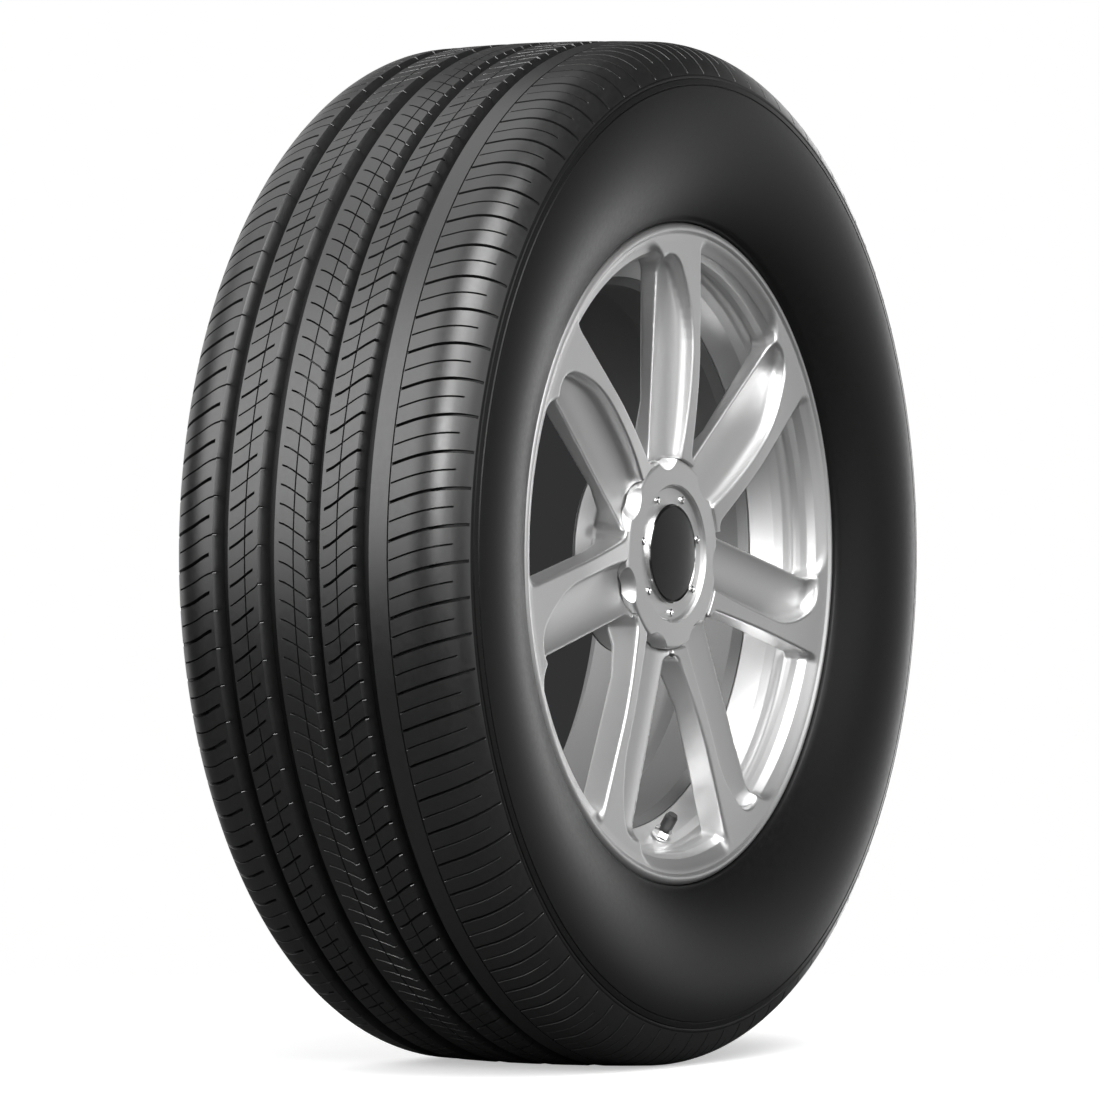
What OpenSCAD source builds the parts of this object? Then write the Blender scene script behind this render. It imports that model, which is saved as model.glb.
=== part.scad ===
// Car tyre on a seven-spoke cast wheel, standing upright.
// The spin axis is Y: the outboard face looks to -Y and the origin is the wheel's centre.
// Every piece is drawn round the Z axis with its outboard side up, and upright() stands it up.

/* [Tyre] */
// Height of the tyre's section, from the rim's flange to the crown of the tread
section_h = 130.4; // [118:0.2:136]
// Radius of the slight curve across the tread
crown_arc_r = 1500; // [900:50:3000]
// Half of the flat part of the tread, where the shoulder round begins
tread_half = 77.5; // [70:0.5:80]
// Radius of the shoulder round
shoulder_r = 40; // [34:0.5:42]
// How far the sidewall stands beyond the end of the shoulder round
bulge = 3; // [1:0.5:5]
// Thickness of rubber and plies under the tread's ribs
crown_t = 17; // [14:0.5:20]
// Thickness of the sidewall
side_t = 10; // [7:0.5:12]
// Depth of the grooves that run round the tread
groove_depth = 8.5; // [6:0.5:10]
// Width of the groove beside the outboard shoulder rib
groove_w_out = 10; // [7:0.5:12]
// Width of the groove beside the centre rib, outboard side
groove_w_mid_out = 8.5; // [6:0.5:12]
// Width of the groove beside the centre rib, inboard side
groove_w_mid_in = 11; // [7:0.5:12]
// Width of the groove beside the inboard shoulder rib
groove_w_in = 10.5; // [7:0.5:12]
// Distance from one groove to the next across the tread
groove_pitch = 37; // [34:0.5:38]
// How far the middle of the four grooves lies inboard of the tyre's middle
groove_shift = 10.5; // [0:0.5:12]
// Height of the flat spot where the tyre stands
flat_h = 2; // [1:0.5:4]

/* [Rim] */
// Radius of the bead seat at its outer end
seat_r = 218.3; // [217:0.1:219]
// Height of a flange over the bead seat
flange_h = 17.3; // [16:0.1:18.5]
// Width between the flanges, where the beads sit
rim_w = 177.8; // [172:0.2:184]
// Thickness of a flange, from the bead's side to its outer face
flange_t = 8.7; // [7:0.1:10]
// Round of a flange's edge
flange_round = 5; // [3:0.5:5.5]
// Thickness of the barrel's wall
barrel_t = 5.8; // [4.5:0.1:7]
// Depth of the well below the bead seat, on the tyre's side
well_depth = 20.3; // [16:0.1:24]
// Length of the well's floor
well_w = 38; // [30:1:44]
// Place of the well's middle, measured outboard from the wheel's middle
well_z = 23; // [18:0.5:26]
// Drop from the bead seat to the ledge beside the well
ledge_drop = 4.3; // [3:0.1:7]
// Clearance between the tyre's bead and the rim
bead_gap = 0.2; // [0.1:0.05:0.4]

/* [Spokes] */
// Number of spokes
spoke_n = 7; // [5:1:8]
// Height of the ridge's crest above the wheel's middle plane
crest_z = 96; // [92:0.5:97]
// How far the ridge's clockwise edge lies from the spoke's own centre line
ridge_cw = 26; // [22:0.5:28]
// How far the ridge's other edge lies from that line on the narrow stretch
ridge_ccw = 14; // [10:0.5:16]
// How far the ridge's edge sweeps across the spoke by the time it meets the rim
ridge_sweep = 39; // [28:1:42]
// How far the sharp lip of the scoop lies from the centre line
lip_ccw = 27; // [24:0.5:30]
// Depth of the scoop's lip below the crest, halfway along the spoke
lip_depth = 9.5; // [7:0.5:11]
// Thickness of a spoke from crest to back
spoke_t = 21; // [18:0.5:24]
// Radius of the window's corner beside the scoop
corner_r = 25; // [18:1:27]

/* [Hub] */
// Radius of the hub's body
hub_r = 71; // [69:0.5:73]
// Place of the mounting face, measured outboard from the wheel's middle
mount_z = 45; // [35:0.5:50]
// Place of the floor that the cover sits on
seat_z = 79; // [77:0.5:80]
// Radius of the centre bore, where it sits on the hub's ring
bore_r = 31.7; // [28:0.05:33]
// Length of that bore, from the mounting face to the step
bore_l = 12; // [9:0.5:13]
// Radius of the narrower bore beyond the step, which holds the cover's legs
cap_bore_r = 30.5; // [27:0.1:31.5]
// Diameter of the circle of bolt holes
bolt_pcd = 108; // [100:0.1:110]
// Number of bolt holes
bolt_n = 5; // [4:1:5]
// Diameter of a bolt hole
bolt_d = 14; // [12:0.5:15]
// Diameter of the cone that a bolt or nut sits on
bolt_seat_d = 22; // [20:0.5:23]
// Depth from the cover's seat to the end of the bolt's pocket
bolt_pocket = 14; // [10:0.5:18]

/* [Cover] */
// Radius of the hub cover
cover_r = 68; // [66:0.25:69]
// Gap round the cover, which shows as its seam
cover_gap = 0.4; // [0.2:0.05:0.8]
// Place of the cover's face
cover_z = 88.5; // [86:0.25:90]
// Wall thickness of the cover
cover_t = 2.6; // [2:0.1:3]
// Width of the cover's solid edge, which its scoops are cut in
edge_t = 7; // [5:0.5:8]
// Radius of the round dish in the cover
dish_r = 48.6; // [46:0.2:50]
// Depth of the dish
dish_depth = 3.6; // [2.5:0.1:4]
// Radius of the scoops in the cover's edge
scoop_r = 21; // [18:0.5:24]
// Radius of the black centre disc
disc_r = 34; // [32:0.25:35]
// Height of the disc's dome above its own edge
disc_dome = 2.4; // [1:0.1:3.5]
// Width of the bright ring round the disc
bezel_w = 1.4; // [1:0.1:2]
// Radius of the circle of small screws
screw_circle_r = 42; // [41:0.25:43]
// Diameter of a screw's head
screw_head_d = 5.6; // [4.5:0.1:6.5]
// Diameter of a screw's shank
screw_d = 3; // [2.5:0.1:3.5]
// Angle from a spoke's centre line to the next screw
screw_angle = 24.6; // [20:0.2:30]

/* [Valve] */
// Angle of the valve's axis from the wheel's radius
valve_tilt = 35; // [30:1:40]
// How far round the valve lies from the middle between two spokes
valve_turn = 10; // [-12:0.5:12]
// Diameter of the hole in the rim
valve_hole_d = 11.5; // [11:0.1:12]
// Diameter of the valve's stem
stem_d = 7.7; // [7:0.1:8]
// Length of the stem above the rim's wall
stem_l = 17; // [15:0.5:26]
// Width of the nut across its flats
nut_af = 12; // [11:0.5:14]
// Outer diameter of the cap
cap_d = 9.6; // [9.4:0.1:11.5]
// Length of the cap
cap_l = 11; // [9:0.5:14]

/* [Hidden] */
$fn = 96;
silver = [0.80, 0.81, 0.82];
rubber = [0.09, 0.09, 0.10];
pitch = 360 / spoke_n;
slack = 1;

// Half of the rim's width, the outer face of a flange, and the radii that follow from the seat's
bead_z = rim_w / 2;
flange_z = bead_z + flange_t;
flange_r = seat_r + flange_h;
ledge_r = seat_r - ledge_drop;
well_r = seat_r - well_depth;
crown_r = flange_r + section_h;

// Points of an arc in the section plane, which holds a radius and a height
function arc(c, r, a0, a1, n) = [for (i = [0:n]) let (a = a0 + (a1 - a0) * i / n)
    [c[0] + r * cos(a), c[1] + r * sin(a)]];
// Points of a cubic curve between p0 and p3, without p0 itself
function curve(p0, p1, p2, p3, n) = [for (i = [1:n]) let (u = i / n, v = 1 - u)
    v * v * v * p0 + 3 * v * v * u * p1 + 3 * v * u * u * p2 + u * u * u * p3];
function flip(pts) = [for (i = [len(pts) - 1:-1:0]) [pts[i][0], -pts[i][1]]];

// Stands a piece up: its outboard side turns to -Y
module upright() rotate([90, 0, 0]) children();
// A place on a spoke's own frame, with clockwise angles as seen from outboard
module clockwise(a) rotate([0, 0, -a]) children();

// Tyre

// The crown's radius at a distance z from the middle
function crown(z) = crown_r - crown_arc_r + sqrt(crown_arc_r * crown_arc_r - z * z);
shoulder_c = [crown(tread_half) - shoulder_r, tread_half];
shoulder_end = 80;
side_top = shoulder_c + shoulder_r * [cos(shoulder_end), sin(shoulder_end)];
// Where the sidewall meets the rim's flange, and the bead's own corners
bead_top = [flange_r + 1.5, flange_z + 1];
heel_r = 6;
bead_w = 22;
bead_taper = 1.9;
bead_flare = 39;
bead_out = flange_r + bead_gap;
seat_in = seat_r + bead_gap;
// Radii of the inner side over the bead, halfway up the wall and where the tread's belts begin
bead_in_r = flange_r + 4.4;
apex_r = bead_in_r + 6;
wall_mid_r = flange_r + 34.4;
belt_r = wall_mid_r + 30;
belt_w = 30;

// Outer side of the tyre from the crown's middle to the bead's toe, outboard half
function outer_half(z0) = concat(
    [for (i = [0:8]) let (z = z0 + (tread_half - z0) * i / 8) [crown(z), z]],
    arc(shoulder_c, shoulder_r, 6, shoulder_end, 14),
    curve(side_top, side_top + bulge * [-6, 1.2], [bead_top[0] + bead_flare, side_top[1] + bulge + 2.5],
          bead_top, 16),
    curve(bead_top, bead_top + [-1, -1.5], [bead_out, flange_z - flange_round + 2],
          [bead_out, flange_z - flange_round], 3),
    [[bead_out, bead_z - bead_gap]],
    arc([seat_in + heel_r, bead_z - bead_gap - heel_r], heel_r, 90, 180, 5),
    [[seat_in - bead_taper, bead_z - bead_w]]);

// Inner side, from the bead's toe back to the crown
function inner_half() = concat(
    [[seat_in + 3, bead_z - bead_w - 2.5]],
    curve([seat_in + 3, bead_z - bead_w - 2.5], [bead_in_r, bead_z - bead_w + 4],
          [apex_r, side_top[1] - side_t - 4], [wall_mid_r, side_top[1] - side_t + 2], 8),
    curve([wall_mid_r, side_top[1] - side_t + 2], [belt_r, side_top[1] - side_t + 7],
          [crown_r - crown_t - 2, side_top[1] - 10], [crown_r - crown_t - 4, tread_half - 22], 10),
    [[crown_r - crown_t, belt_w]]);

module groove(z, w) {
    floor_w = w * 0.62;
    polygon([[crown(z) + slack, z - w / 2], [crown(z) + slack, z + w / 2],
             [crown_r - groove_depth, z + floor_w / 2], [crown_r - groove_depth, z - floor_w / 2]]);
}

module tyre_section() {
    half = concat(outer_half(0), inner_half());
    difference() {
        polygon(concat(half, flip(half)));
        groove(1.5 * groove_pitch - groove_shift, groove_w_out);
        groove(0.5 * groove_pitch - groove_shift, groove_w_mid_out);
        groove(-0.5 * groove_pitch - groove_shift, groove_w_mid_in);
        groove(-1.5 * groove_pitch - groove_shift, groove_w_in);
    }
}

module tyre() color(rubber) upright() difference() {
    rotate_extrude($fn = 180) tyre_section();
    // The flat spot on which the tyre stands
    translate([-crown_r, -2 * crown_r + flat_h, -crown_r]) cube([2 * crown_r, crown_r, 2 * crown_r]);
}

// Cast wheel

slope_in = 16;
well_out = well_z + well_w / 2;
well_in = well_z - well_w / 2;
seat_end = bead_z - bead_w - 1;

// The tyre's side of the barrel, from the outboard flange to the inboard one
barrel_out = concat(
    arc([flange_r - flange_round, flange_z - flange_round], flange_round, 90, 0, 6),
    [[flange_r, bead_z + 1], [flange_r - 1, bead_z]],
    arc([seat_r + heel_r, bead_z - heel_r], heel_r, 90, 180, 5),
    [[seat_r - bead_taper, seat_end], [seat_r - bead_taper + 1.2, seat_end - 2],
     [seat_r - bead_taper, seat_end - 5], [ledge_r, seat_end - 8], [well_r, well_out], [well_r, well_in],
     [ledge_r - 2, well_in - slope_in], [ledge_r, well_in - slope_in - 6], [ledge_r, -seat_end + 8],
     [seat_r - bead_taper, -seat_end + 5], [seat_r - bead_taper + 1.2, -seat_end + 2],
     [seat_r - bead_taper, -seat_end]],
    flip(arc([seat_r + heel_r, bead_z - heel_r], heel_r, 90, 180, 5)),
    [[flange_r - 1, -bead_z], [flange_r, -bead_z - 1]],
    flip(arc([flange_r - flange_round, flange_z - flange_round], flange_round, 90, 0, 6)));

// The open side of the wheel: from the inboard flange along the barrel's inside to the spokes' back,
// over the hub and the cover's seat, and out along the spokes' crest to the outboard flange
lip_in = flange_r - 8;
window_r = flange_r - 7.5;
spoke_mid = (cover_r + window_r) / 2;
crest_fall = 8.5;
crest_end = 62;
function past(r, a, w) = max(0, min(1, (r - a) / w));
// The crest is level beyond the spoke's middle and falls towards the hub
function crest_depth(r) = crest_fall * pow(past(-r, -spoke_mid, spoke_mid - crest_end), 1.6);
barrel_in = [
    [lip_in, -flange_z + 0.5], [lip_in - 2, -flange_z + 2.5], [seat_r - barrel_t - 0.5, -bead_z + 4],
    [seat_r - barrel_t - 1, -seat_end + 1], [ledge_r - barrel_t, -seat_end + 9],
    [ledge_r - barrel_t, well_in - slope_in - 5], [ledge_r - barrel_t - 2, well_in - slope_in + 2],
    [well_r - barrel_t, well_in + 3], [well_r - barrel_t, well_out - 2.5],
    [ledge_r - barrel_t - 0.5, seat_end - 5], [seat_r - barrel_t - 1.5, seat_end + 2]];
// The outboard end of the barrel's inside, which the windows lay bare
rim_wall = [[seat_r - barrel_t, bead_z - 8], [seat_r - barrel_t + 1.2, bead_z - 2.5],
            [seat_r - barrel_t + 4.8, bead_z + 2.6], [lip_in - 1.5, flange_z - 1.8], [lip_in, flange_z - 1]];
back_z = crest_z - spoke_t;
hub_back = [[seat_r - barrel_t - 1, back_z], [hub_r + 41, back_z], [hub_r + 17, back_z - 5],
            [hub_r + 3, back_z - 13], [hub_r, mount_z], [0, mount_z], [0, seat_z]];
crest = concat([[cover_r + cover_gap, seat_z]],
    [for (i = [0:5]) let (r = cover_r + cover_gap + (spoke_mid - cover_r - cover_gap) * i / 5)
        [r, crest_z - crest_depth(r)]],
    [[lip_in - 6, crest_z], [lip_in, crest_z + 0.4], [lip_in + 2, flange_z]]);

module wheel_blank() rotate_extrude($fn = 180) polygon(concat(barrel_out, barrel_in, hub_back, crest));

// Windows between the spokes. A place on the next spoke's frame, taken back to this one's
function turned(p) = [p[0] * cos(pitch) + p[1] * sin(pitch), p[1] * cos(pitch) - p[0] * sin(pitch)];
foot_r = 8;
inner_r = 8;
lip_mid = lip_ccw + 1.5;
inner_y = ((ridge_cw + inner_r) * cos(pitch) + lip_mid + inner_r) / sin(pitch);
foot_c = [ridge_cw + foot_r, sqrt(pow(window_r - foot_r, 2) - pow(ridge_cw + foot_r, 2))];
corner_c = [-lip_mid - corner_r, sqrt(pow(window_r - corner_r, 2) - pow(lip_mid + corner_r, 2))];
window_pts = concat(
    arc([ridge_cw + inner_r, inner_y], inner_r, 360 - pitch, 180, 7),
    arc(foot_c, foot_r, 180, atan2(foot_c[1], foot_c[0]), 5),
    [for (i = [1:3]) let (a0 = atan2(foot_c[1], foot_c[0]), a1 = atan2(corner_c[1], corner_c[0]) - pitch,
        a = a0 + (a1 - a0) * i / 4) window_r * [cos(a), sin(a)]],
    [for (p = arc(corner_c, corner_r, atan2(corner_c[1], corner_c[0]), 0, 8)) turned(p)]);

// Inside of the rim, which is as far out as a window reaches
module window_limit() rotate_extrude($fn = 180)
    polygon(concat([[0, back_z - 20], [seat_r - 20, back_z - 20], [seat_r - barrel_t - 0.3, back_z - 0.5]], rim_wall,
                   [[lip_in + 1.4, flange_z], [lip_in + 3, flange_z + 10], [0, flange_z + 10]]));

module windows() intersection() {
    for (k = [0:spoke_n - 1]) clockwise(k * pitch) translate([0, 0, mount_z + 1])
        linear_extrude(height = flange_z) polygon(window_pts);
    window_limit();
}

// Scoop beside the ridge of each spoke: a long hollow with a round floor that sinks towards the hub,
// bounded by the ridge's swept edge and open over the lip
scoop_r0 = 62;
scoop_r1 = window_r - 6;
sweep_l = window_r + 2 - spoke_mid;
scoop_floor_r = 42;
scoop_slope = 2.6;
function ridge_edge(r) = ridge_ccw - ridge_sweep * pow(past(r, spoke_mid, sweep_l), 2.05)
    - 3.5 * pow(past(-r, -spoke_mid, 75), 3);
scoop_plan = concat(
    [for (i = [0:12]) let (r = scoop_r0 + (scoop_r1 - scoop_r0) * i / 12) [ridge_edge(r), r]],
    [[ridge_edge(scoop_r1) - 5, scoop_r1 + 2.5], [-lip_ccw - 4, scoop_r1 + 2], [-lip_ccw - 10, scoop_r1 - 4],
     [-lip_ccw - 13, scoop_r1 - 26], [-lip_ccw - 11, scoop_r0]]);
// The floor's round is centred between the lip and the wall, and reaches the lip's depth at the lip
scoop_x = (ridge_ccw - lip_ccw) / 2 - 2;
floor_c = scoop_floor_r * cos(asin((scoop_x + lip_ccw) / scoop_floor_r)) - lip_depth;
module scoop() intersection() {
    window_limit();
    translate([0, 0, back_z + 1]) linear_extrude(height = 3 * spoke_t) polygon(scoop_plan);
    translate([scoop_x, spoke_mid, crest_z + floor_c]) rotate([-90 + scoop_slope, 0, 0])
        cylinder(r = scoop_floor_r, h = 2 * window_r, center = true);
}

module bolt_hole() {
    cylinder(d = bolt_d, h = seat_z + slack);
    // The cone and the pocket for the bolt's head
    translate([0, 0, seat_z - bolt_pocket - (bolt_seat_d - bolt_d)])
        cylinder(d1 = bolt_d, d2 = bolt_seat_d, h = bolt_seat_d - bolt_d);
    translate([0, 0, seat_z - bolt_pocket]) cylinder(d = bolt_seat_d, h = bolt_pocket + slack);
}

module alloy_wheel() color(silver) upright() difference() {
    wheel_blank();
    windows();
    for (k = [0:spoke_n - 1]) clockwise(k * pitch) scoop();
    translate([0, 0, mount_z - slack]) cylinder(r = bore_r, h = bore_l + slack);
    translate([0, 0, mount_z]) cylinder(r = cap_bore_r, h = seat_z - mount_z + slack);
    for (k = [0:bolt_n - 1]) clockwise(k * 360 / bolt_n) translate([0, bolt_pcd / 2, 0]) bolt_hole();
    at_valve() translate([0, 0, -3 * barrel_t]) cylinder(d = valve_hole_d, h = 7 * barrel_t);
    // Flat spots that the valve's seal and washer sit on
    at_valve() translate([0, 0, -3 * barrel_t]) cylinder(d = head_d + 2, h = 3 * barrel_t);
    at_valve() translate([0, 0, wall_t]) cylinder(d = washer_d + 1, h = 3 * barrel_t);
}

// Hub cover and its centre

face_edge = cover_r - 3;
dish_z = cover_z - dish_depth;
under_z = dish_z - cover_t;
screw_clear = 0.2;

module edge_scoops() for (k = [0:spoke_n - 1])
    clockwise(k * pitch - 7) translate([0, cover_r + scoop_r * 0.55, cover_z + scoop_r * 0.35]) sphere(r = scoop_r);

module screw_places() for (k = [0:spoke_n - 1]) clockwise(screw_angle + k * pitch)
    translate([0, screw_circle_r, 0]) children();

module hub_cover() color(silver) upright() difference() {
    rotate_extrude() polygon(concat(
        [[0, dish_z], [dish_r - 2, dish_z], [dish_r, dish_z + 1.6], [dish_r + 0.8, cover_z]],
        [[face_edge, cover_z - 0.6]],
        arc([face_edge, cover_z - 3.6], 3, 84, 0, 5),
        [[cover_r, seat_z + cover_gap], [cover_r - edge_t, seat_z + cover_gap],
         [cover_r - edge_t, under_z], [0, under_z]]));
    edge_scoops();
    screw_places() translate([0, 0, under_z - slack]) cylinder(d = screw_d + 2 * screw_clear, h = 10);
}

disc_seat = 0.2;
module disc_bezel() color("gainsboro") upright() rotate_extrude()
    polygon([[disc_r + disc_seat, dish_z], [disc_r + bezel_w, dish_z], [disc_r + bezel_w, dish_z + 2.2],
             [disc_r + bezel_w / 2, dish_z + 2.8], [disc_r + disc_seat, dish_z + 2.2]]);

module centre_disc() color([0.04, 0.04, 0.045]) upright() rotate_extrude()
    polygon(concat([[0, dish_z + disc_seat], [disc_r, dish_z + disc_seat], [disc_r, dish_z + 1.8]],
        [for (i = [0:8]) let (r = (disc_r - 1) * (1 - i / 8))
            [r, dish_z + 2.6 + disc_dome * (1 - pow(r / disc_r, 2))]]));

// The carrier behind the cover: a ring with snap legs that hold in the wheel's centre bore
carrier_t = 3;
carrier_r = screw_circle_r + 4;
leg_n = 6;
leg_gap = 0.3;
leg_in_r = cap_bore_r - 6;
leg_r = cap_bore_r - 3;
leg_top = under_z - carrier_t - disc_seat;
// A leg's foot, and its barb, which holds behind the step in the bore
leg_z = mount_z + bore_l + 2;
leg_slot = 8;
module cover_carrier() color([0.12, 0.12, 0.13]) upright() difference() {
    union() {
        translate([0, 0, leg_top]) difference() {
            cylinder(r = carrier_r, h = carrier_t);
            translate([0, 0, -slack]) cylinder(r = leg_in_r, h = carrier_t + 2 * slack);
        }
        difference() {
            rotate_extrude() polygon([[leg_in_r, leg_top + 1], [leg_in_r, leg_z + 2], [leg_r - 0.4, leg_z],
                [cap_bore_r - leg_gap, leg_z + 3], [cap_bore_r - leg_gap, leg_z + 5],
                [leg_r, leg_z + 8], [leg_r, leg_top + 1]]);
            for (k = [0:leg_n - 1]) rotate([0, 0, k * 360 / leg_n])
                translate([0, -leg_slot / 2, leg_z - slack]) cube([bore_r + 2, leg_slot, leg_top - 3 - leg_z]);
        }
    }
    screw_places() translate([0, 0, leg_top - slack]) cylinder(d = screw_d, h = carrier_t + 2 * slack);
}

// Wire ring that spreads the carrier's legs
spring_wire = 1.8;
module carrier_spring() color("silver") upright()
    translate([0, 0, leg_z + 6]) rotate_extrude()
        translate([leg_in_r - spring_wire / 2 - 0.1, 0]) circle(d = spring_wire, $fn = 24);

screw_head_h = 1.8;
module cover_screw(k) color("gainsboro") upright() clockwise(screw_angle + (k - 1) * pitch)
    translate([0, screw_circle_r, 0]) difference() {
        union() {
            translate([0, 0, dish_z]) cylinder(d = screw_head_d, h = screw_head_h - 0.5, $fn = 32);
            translate([0, 0, dish_z + screw_head_h - 0.5])
                cylinder(d1 = screw_head_d, d2 = screw_head_d - 1.4, h = 0.5, $fn = 32);
            translate([0, 0, leg_top]) cylinder(d = screw_d, h = dish_z - leg_top + screw_head_h / 2, $fn = 32);
        }
        // Six-sided socket for the key
        translate([0, 0, dish_z + screw_head_h - 1]) cylinder(d = screw_head_d * 0.5, h = 2, $fn = 6);
    }

// Valve, drawn along its own axis with the rim's wall from 0 up to wall_t

// The hole lies near the top of the slope between the ledge and the well
valve_r = ledge_r - 3;
valve_z = seat_end - 10;
wall_t = barrel_t + 0.4;
wall_gap = 0.35;
head_d = 16;
washer_d = 15;
head_t = 3;
seal_t = 3.2;
bore_d = 4.4;
washer_t = 1.2;
nut_t = 5;
core_d = 3.8;
thread_gap = 0.15;

module at_valve() clockwise(180 - valve_turn) translate([0, valve_r, valve_z]) rotate([90 - valve_tilt, 0, 0])
    children();

module valve_stem() color([0.15, 0.15, 0.16]) upright() at_valve() difference() {
    union() {
        translate([0, 0, -wall_gap - seal_t - head_t]) cylinder(d = head_d, h = head_t);
        translate([0, 0, -wall_gap - seal_t - 1]) cylinder(d = stem_d, h = seal_t + 1 + wall_t + stem_l);
    }
    translate([0, 0, -wall_gap - seal_t - head_t - slack])
        cylinder(d = bore_d, h = wall_gap + seal_t + head_t + stem_top + 2 * slack);
}

module valve_grommet() color([0.10, 0.10, 0.10]) upright() at_valve() difference() {
    union() {
        translate([0, 0, -wall_gap - seal_t]) cylinder(d = head_d, h = seal_t);
        translate([0, 0, -1]) cylinder(d = valve_hole_d - 0.3, h = wall_t);
    }
    translate([0, 0, -wall_gap - seal_t - slack])
        cylinder(d = stem_d + 2 * thread_gap, h = wall_gap + seal_t + wall_t + 2 * slack);
}

washer_z = wall_t + wall_gap;
module valve_washer() color("gainsboro") upright() at_valve() translate([0, 0, washer_z]) difference() {
    cylinder(d = washer_d, h = washer_t);
    translate([0, 0, -slack]) cylinder(d = stem_d + 2 * thread_gap, h = washer_t + 2 * slack);
}

module valve_nut() color("gainsboro") upright() at_valve() translate([0, 0, washer_z + washer_t]) difference() {
    intersection() {
        cylinder(d = nut_af / cos(30), h = nut_t, $fn = 6);
        translate([0, 0, -0.1]) cylinder(d1 = nut_af / cos(30) + 8, d2 = nut_af - 0.2, h = nut_t + 0.2);
    }
    translate([0, 0, -slack]) cylinder(d = stem_d + 2 * thread_gap, h = nut_t + 2 * slack);
}

stem_top = wall_t + stem_l;
core_l = 18.5;
core_sink = 1.5;
pin_d = 1.4;
core_bore_d = 2;
module valve_core() color("goldenrod") upright() at_valve() translate([0, 0, stem_top - core_sink - core_l])
    difference() {
        cylinder(d = core_d, h = core_l);
        translate([0, 0, -slack]) cylinder(d = core_bore_d, h = core_l + 2 * slack);
    }

module valve_core_pin() color("silver") upright() at_valve()
    translate([0, 0, stem_top - core_sink - core_l - 1]) cylinder(d = pin_d, h = core_l + 2, $fn = 24);

cap_wall_t = 2.4;
module valve_cap() color([0.05, 0.05, 0.055]) upright() at_valve()
    translate([0, 0, stem_top + cap_wall_t + 0.6 - cap_l]) difference() {
        union() {
            cylinder(d = cap_d, h = cap_l - 2.5);
            translate([0, 0, cap_l - 2.5]) cylinder(d1 = cap_d, d2 = cap_d - 2.4, h = 2.5);
        }
        translate([0, 0, -slack]) cylinder(d = stem_d + 2 * thread_gap, h = cap_l - cap_wall_t + slack);
    }

module valve_cap_seal() color([0.3, 0.1, 0.08]) upright() at_valve() translate([0, 0, stem_top + 0.05]) difference() {
    cylinder(d = stem_d - 0.4, h = 0.5);
    translate([0, 0, -slack]) cylinder(d = 2.4, h = 3);
}

tyre();
alloy_wheel();
hub_cover();
cover_carrier();
carrier_spring();
disc_bezel();
centre_disc();
cover_screw(1);  // cover_screw_1
cover_screw(2);  // cover_screw_2
cover_screw(3);  // cover_screw_3
cover_screw(4);  // cover_screw_4
cover_screw(5);  // cover_screw_5
cover_screw(6);  // cover_screw_6
cover_screw(7);  // cover_screw_7
valve_stem();
valve_grommet();
valve_washer();
valve_nut();
valve_core();
valve_core_pin();
valve_cap();
valve_cap_seal();
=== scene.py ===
"""Looks of a car tyre on its seven-spoke cast wheel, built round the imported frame.

Shapes are worked out in the wheel's own axes, in millimetres: x to the right as seen from outboard,
y up, and z outboard along the spin axis. world() takes them to the frame, in metres.
"""
import math

import bpy
import numpy as np
from mathutils import Matrix, Vector

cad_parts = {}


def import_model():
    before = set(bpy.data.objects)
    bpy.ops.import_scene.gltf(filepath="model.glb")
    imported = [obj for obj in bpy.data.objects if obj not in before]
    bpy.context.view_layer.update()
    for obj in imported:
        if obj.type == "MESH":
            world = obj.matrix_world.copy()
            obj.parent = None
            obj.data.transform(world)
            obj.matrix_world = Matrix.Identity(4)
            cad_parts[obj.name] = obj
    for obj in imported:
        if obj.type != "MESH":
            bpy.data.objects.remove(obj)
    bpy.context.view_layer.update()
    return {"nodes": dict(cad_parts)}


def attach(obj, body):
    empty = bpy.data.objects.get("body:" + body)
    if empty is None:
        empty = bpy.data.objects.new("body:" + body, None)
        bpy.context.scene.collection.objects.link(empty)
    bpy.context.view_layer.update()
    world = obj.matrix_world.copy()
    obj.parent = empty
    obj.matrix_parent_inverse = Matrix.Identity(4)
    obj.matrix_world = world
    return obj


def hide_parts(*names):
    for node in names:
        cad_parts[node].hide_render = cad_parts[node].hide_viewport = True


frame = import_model()
NODES = frame["nodes"]
MM = 0.001
TAU = 2 * math.pi

# The tyre's sizes and the rim's, as in the part's source, in millimetres. A groove is given by the
# place of its middle across the tread, and its width.
CROWN_R = 366.0
CROWN_ARC_R = 1500.0
TREAD_HALF = 77.5
SHOULDER_R = 40.0
BULGE = 3.0
CROWN_T = 17.0
SIDE_T = 10.0
GROOVE_DEPTH = 8.5
GROOVES = ((45.0, 10.0), (8.0, 8.5), (-29.0, 11.0), (-66.0, 10.5))
FLAT_H = 2.0
FLANGE_R = 235.6
SEAT_R = 218.3
BEAD_Z = 88.9
FLANGE_Z = 97.6
BEAD_GAP = 0.2
BEAD_TAPER = 1.9


def world(points):
    """Points in the wheel's axes, in millimetres, to the frame's axes in metres."""
    p = np.asarray(points, dtype=float) * MM
    return np.stack([p[..., 0], -p[..., 2], p[..., 1]], axis=-1)


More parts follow.
